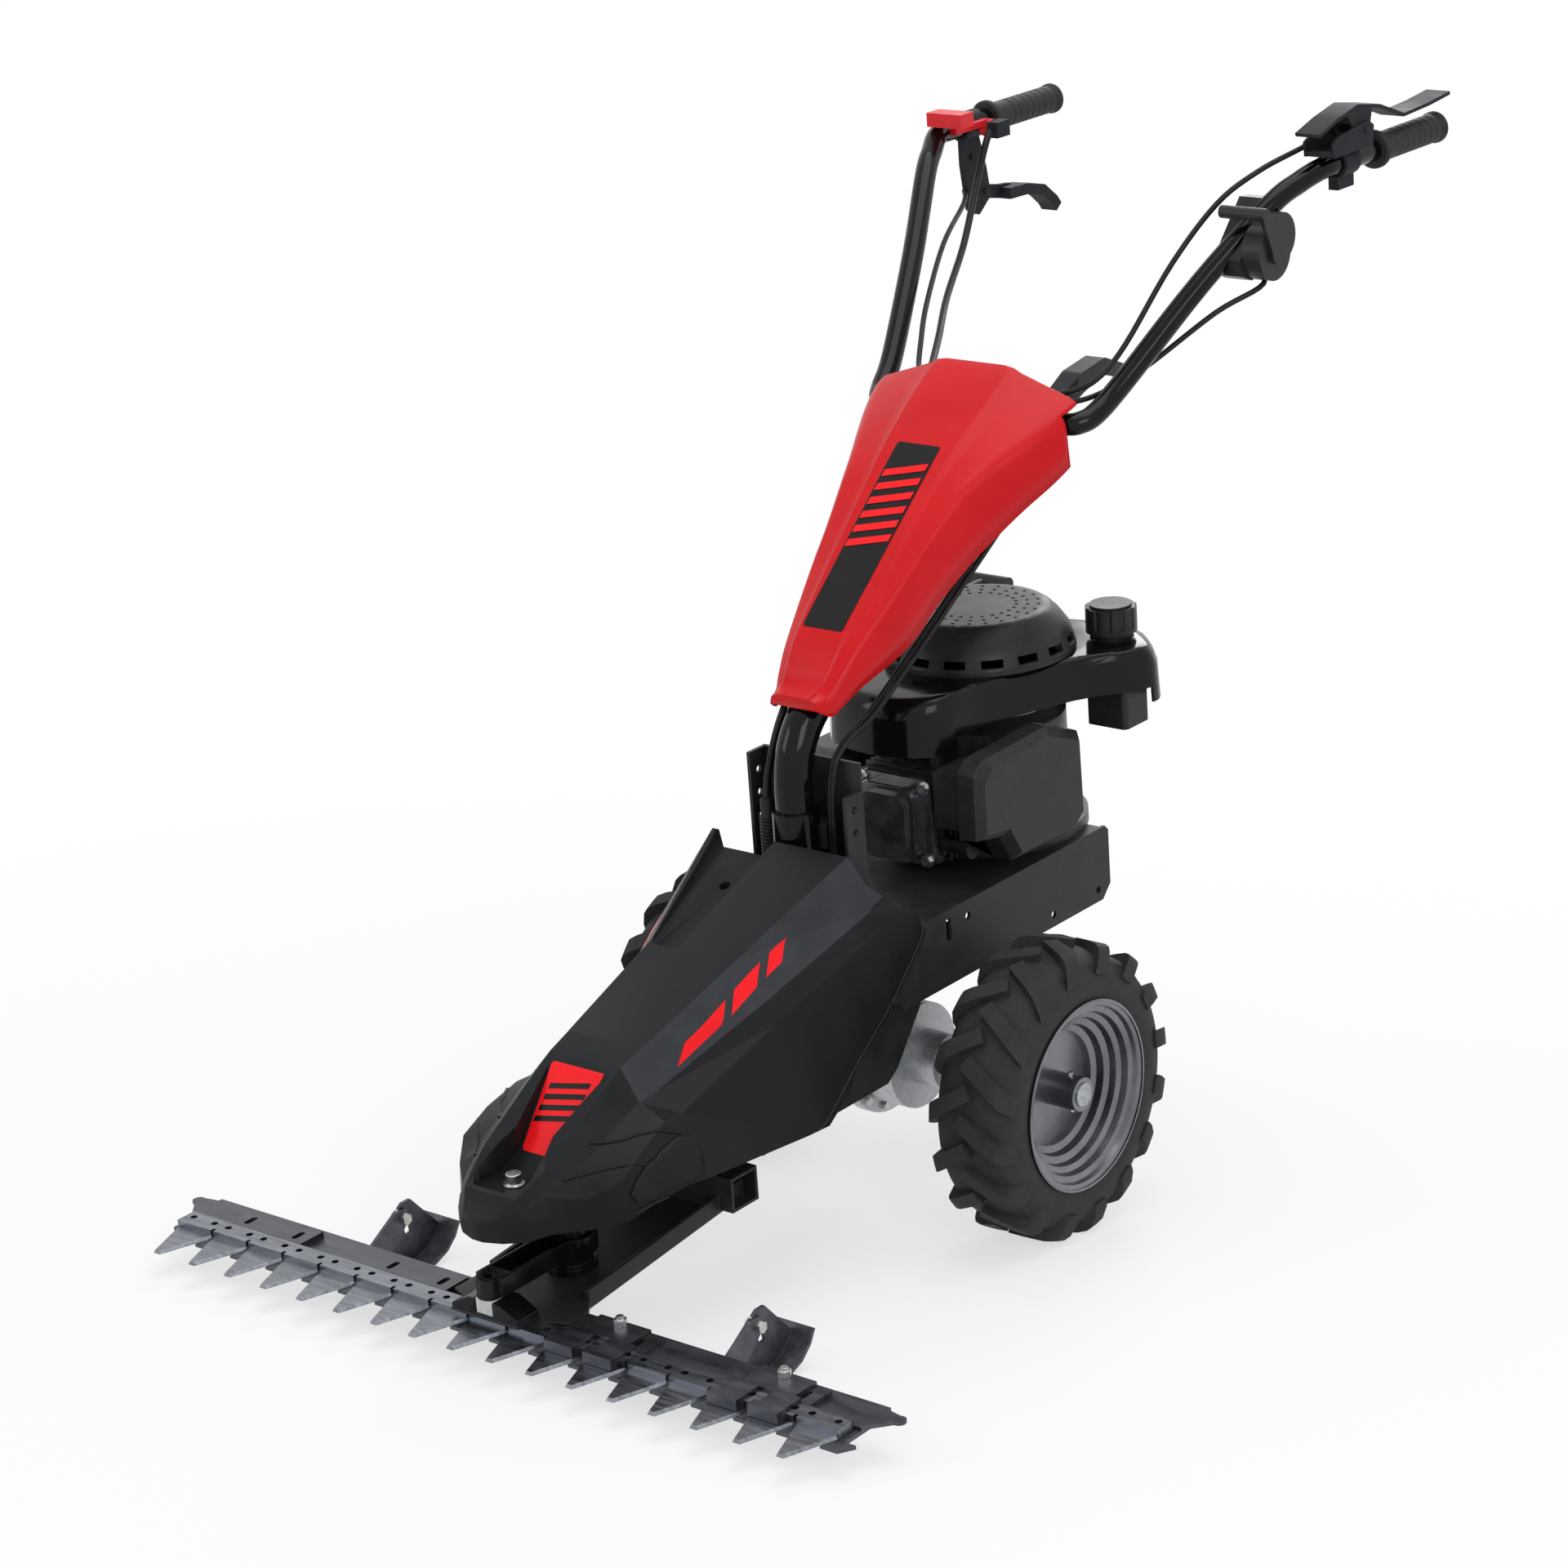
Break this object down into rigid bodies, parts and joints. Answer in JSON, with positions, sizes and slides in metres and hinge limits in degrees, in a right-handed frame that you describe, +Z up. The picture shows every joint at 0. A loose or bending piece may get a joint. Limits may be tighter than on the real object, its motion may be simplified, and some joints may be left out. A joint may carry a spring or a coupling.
{
  "type": "sickle bar mower",
  "caption": "Walk-behind sickle bar mower: front reciprocating knife bar on skids, hooded drive, two lugged wheels, upright-shaft engine and a tilting handlebar with hand levers.",
  "frame": {"origin": "on the floor, under the middle of the part's box", "axes": "+X to the operator's left, +Y to the operator (rear), +Z up; the knife bar lies across the front, at -Y"},
  "size_m": [0.938, 1.343, 1.1477],
  "materials": {
    "frame_steel": "satin black powder coat",
    "bar_steel": "matt black coated bar steel",
    "knife_steel": "bright ground steel",
    "zinc_bolts": "zinc-plated fasteners",
    "shaft_steel": "turned steel",
    "drive_black": "gloss black enamel",
    "slide_plastic": "pale wear plastic",
    "hood_plastic": "grained dark grey moulding",
    "cover_plastic": "gloss red moulding",
    "shroud_plastic": "gloss black moulding",
    "black_plastic": "satin black moulding",
    "red_plastic": "red moulding",
    "gear_alloy": "sand-cast aluminium",
    "engine_alloy": "dark cast aluminium",
    "valve_alloy": "dark polished casting",
    "muffler_steel": "heat-resistant dark grey paint",
    "tyre_rubber": "black tread rubber",
    "rim_paint": "satin silver-grey rim paint",
    "soft_rubber": "black moulded rubber",
    "bar_paint": "gloss black tube paint"
  },
  "bodies": {
    "machine": {"finger_bar": "bar_steel", "hold_down_clips": "bar_steel", "hold_down_bolts": "zinc_bolts", "skid_brackets": "bar_steel", "skid_runners": "bar_steel", "skid_bolts": "zinc_bolts", "carrier_tray": "frame_steel", "rocker_bearing": "drive_black", "knife_drive_housing": "engine_alloy", "hood": "hood_plastic", "hood_bolt": "zinc_bolts", "chassis_frame": "frame_steel", "gearbox_housing": "gear_alloy", "gearbox_bolts": "zinc_bolts", "drive_belt": "soft_rubber", "engine_block": "engine_alloy", "cylinder_head": "engine_alloy", "valve_cover": "valve_alloy", "valve_cover_bolts": "zinc_bolts", "spark_plug": "soft_rubber", "carburettor": "gear_alloy", "air_filter_base": "black_plastic", "air_filter_cover": "black_plastic", "muffler": "muffler_steel", "fan_shroud": "shroud_plastic", "fuel_tank": "black_plastic", "starter_dome": "shroud_plastic", "column_bracket": "frame_steel", "handle_column": "bar_paint", "column_cover": "cover_plastic", "bar_clamp": "frame_steel", "lower_cables": "soft_rubber"},
    "knife": {"knife": "knife_steel", "knife_head": "drive_black", "slide_block": "slide_plastic"},
    "rocker": {"rocker_shaft": "drive_black", "rocker_arm": "drive_black"},
    "knife_drive": {"knife_drive_shaft": "shaft_steel"},
    "wheels": {"axle": "shaft_steel", "rim_left": "rim_paint", "rim_right": "rim_paint", "tyre_left": "tyre_rubber", "tyre_right": "tyre_rubber", "hub_pins": "zinc_bolts"},
    "input": {"input_pulley": "shaft_steel"},
    "crank": {"crankshaft": "shaft_steel", "flywheel": "gear_alloy"},
    "fuel_cap": {"fuel_cap": "black_plastic"},
    "starter": {"starter_grip": "black_plastic"},
    "clamp_lever": {"clamp_lever": "black_plastic"},
    "handlebar": {"handlebar": "bar_paint", "grips": "soft_rubber", "clutch_bracket": "frame_steel", "drive_lever_bracket": "frame_steel", "throttle_box": "black_plastic", "upper_cables": "soft_rubber"},
    "clutch_lever": {"clutch_lever": "frame_steel"},
    "drive_lever": {"drive_lever": "frame_steel"},
    "stop_lever": {"stop_lever": "red_plastic"},
    "throttle_lever": {"throttle_lever": "black_plastic"}
  },
  "joints": [
    {"name": "knife_slide", "type": "slide", "parent": "machine", "child": "knife", "axis": [1, 0, 0], "range_m": [-0.0256, 0.0256]},
    {"name": "rocker_swing", "type": "hinge", "parent": "machine", "child": "rocker", "pos_m": [0, -0.49501, 0.10295], "axis": [0, -0.1077, 0.9942], "range_deg": [-12.33, 12.33]},
    {"name": "knife_drive_spin", "type": "hinge", "parent": "machine", "child": "knife_drive", "pos_m": [0, -0.28403, 0.161], "axis": [0, 0.9942, 0.1077], "continuous": true},
    {"name": "crank_spin", "type": "hinge", "parent": "machine", "child": "crank", "pos_m": [0, 0.19489, 0.42912], "axis": [0, -0.1077, 0.9942], "continuous": true},
    {"name": "input_spin", "type": "hinge", "parent": "machine", "child": "input", "pos_m": [0, -0.0168, 0.27543], "axis": [0, -0.1077, 0.9942], "continuous": true},
    {"name": "wheel_spin", "type": "hinge", "parent": "machine", "child": "wheels", "pos_m": [0, 0.018, 0.1585], "axis": [1, 0, 0], "continuous": true},
    {"name": "fuel_cap_turn", "type": "hinge", "parent": "machine", "child": "fuel_cap", "pos_m": [0.108, 0.2751, 0.59874], "axis": [0, -0.1077, 0.9942], "range_deg": [0, 120]},
    {"name": "starter_pull", "type": "slide", "parent": "machine", "child": "starter", "axis": [0, 0.9942, 0.1077], "range_m": [0, 0.1], "stiffness_N_per_m": 20},
    {"name": "clamp_lever_turn", "type": "hinge", "parent": "machine", "child": "clamp_lever", "pos_m": [0.085, 0.19904, 0.84598], "axis": [1, 0, 0], "range_deg": [0, 75]},
    {"name": "handlebar_tilt", "type": "hinge", "parent": "machine", "child": "handlebar", "pos_m": [0, 0.16873, 0.82862], "axis": [1, 0, 0], "range_deg": [-12, 12]},
    {"name": "clutch_lever_turn", "type": "hinge", "parent": "handlebar", "child": "clutch_lever", "pos_m": [0.258, 0.49024, 1.11993], "axis": [1, 0, 0], "range_deg": [-3, 18]},
    {"name": "drive_lever_turn", "type": "hinge", "parent": "handlebar", "child": "drive_lever", "pos_m": [-0.258, 0.52903, 1.01248], "axis": [1, 0, 0], "range_deg": [0, 22]},
    {"name": "stop_lever_turn", "type": "hinge", "parent": "handlebar", "child": "stop_lever", "pos_m": [-0.235, 0.50881, 1.08774], "axis": [1, 0, 0], "range_deg": [-25, 0]},
    {"name": "throttle_turn", "type": "hinge", "parent": "handlebar", "child": "throttle_lever", "pos_m": [0.241, 0.35938, 1.00014], "axis": [1, 0, 0], "range_deg": [-25, 25]}
  ],
  "couplings": [
    {"joint": "rocker_swing", "follows": "knife_slide", "rad_per_m": 8.4034},
    {"joint": "input_spin", "follows": "crank_spin", "ratio": 0.5625},
    {"joint": "knife_drive_spin", "follows": "crank_spin", "ratio": 0.5625}
  ]
}
